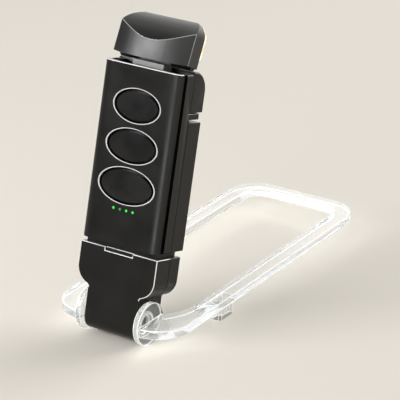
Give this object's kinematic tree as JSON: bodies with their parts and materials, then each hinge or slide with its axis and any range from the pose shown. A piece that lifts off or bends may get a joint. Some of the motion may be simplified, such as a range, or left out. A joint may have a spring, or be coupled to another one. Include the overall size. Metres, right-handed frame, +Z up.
{
  "type": "clip-on book light",
  "caption": "Rechargeable clip-on book light: slim lamp with tilting light bar, oval buttons and spring page clip, in a dock with a clear folding loop.",
  "frame": {"origin": "On the ground plane below the middle of the loop and lamp, at the bottom centre of the bounding box.", "axes": "+X to the right as seen from the buttons, +Y from the buttons towards the loop's far end, +Z up."},
  "size_m": [0.0502, 0.1216, 0.1021],
  "materials": {
    "black_satin": "satin",
    "black_gloss": "gloss",
    "grey_plastic": "satin",
    "clear_plastic": "clear, polished",
    "switch_black": "matte",
    "white_plastic": "satin",
    "nylon": "satin",
    "grip_rubber": "matte",
    "foam_pad": "matte",
    "board_green": "satin",
    "battery_foil": "satin",
    "steel": "satin",
    "charge_green": "lit",
    "diffuser_warm": "opal, lit",
    "led_yellow": "satin"
  },
  "bodies": {
    "base": {"base_front_shell": "black_satin", "base_rear_shell": "black_satin", "base_screws": "steel", "bushing_left": "nylon", "bushing_right": "nylon"},
    "bracket": {"bracket_loop": "clear_plastic", "retaining_clip_left": "steel", "retaining_clip_right": "steel"},
    "lamp": {"front_cover": "black_satin", "mid_frame": "black_satin", "rear_housing": "black_satin", "clip_pin": "steel", "clip_spring": "steel", "tact_switches": "switch_black", "charge_lights": "charge_green", "circuit_board": "board_green", "board_screws": "steel", "battery": "battery_foil", "battery_pad": "foam_pad", "dock_plug": "black_satin", "usb_socket": "steel", "hinge_pedestal": "grey_plastic"},
    "head": {"head_shell": "black_satin", "light_frame": "white_plastic", "light_diffuser": "diffuser_warm", "led_board": "white_plastic", "head_leds": "led_yellow", "head_pin": "steel"},
    "top_button": {"button_top": "black_gloss", "plunger_top": "switch_black"},
    "middle_button": {"button_middle": "black_gloss", "plunger_middle": "switch_black"},
    "bottom_button": {"button_bottom": "black_gloss", "plunger_bottom": "switch_black"},
    "page_clip": {"clip_arm": "black_satin", "clip_plate": "black_satin", "clip_pad": "grip_rubber"}
  },
  "joints": [
    {"name": "bracket_pivot", "type": "hinge", "parent": "base", "child": "bracket", "pos_m": [0, -0.05335, 0.0075], "axis": [1, 0, 0], "range_deg": [-20, 73.7]},
    {"name": "lamp_dock", "type": "slide", "parent": "base", "child": "lamp", "axis": [0, 0.2807, 0.9598], "range_m": [0, 0.0075]},
    {"name": "head_tilt", "type": "hinge", "parent": "lamp", "child": "head", "pos_m": [0, -0.02702, 0.09028], "axis": [1, 0, 0], "range_deg": [-50, 10]},
    {"name": "page_clip_hinge", "type": "hinge", "parent": "lamp", "child": "page_clip", "pos_m": [0, -0.02946, 0.07375], "axis": [1, 0, 0], "range_deg": [0, 16], "stiffness_Nm_per_rad": 0.06, "springref_deg": -20.05, "deforming": ["clip_spring"]},
    {"name": "top_button_press", "type": "slide", "parent": "lamp", "child": "top_button", "axis": [0, 0.9598, -0.2807], "range_m": [0, 0.0005], "stiffness_N_per_m": 400, "springref_m": -0.0005},
    {"name": "middle_button_press", "type": "slide", "parent": "lamp", "child": "middle_button", "axis": [0, 0.9598, -0.2807], "range_m": [0, 0.0005], "stiffness_N_per_m": 400, "springref_m": -0.0005},
    {"name": "bottom_button_press", "type": "slide", "parent": "lamp", "child": "bottom_button", "axis": [0, 0.9598, -0.2807], "range_m": [0, 0.0005], "stiffness_N_per_m": 400, "springref_m": -0.0005}
  ]
}
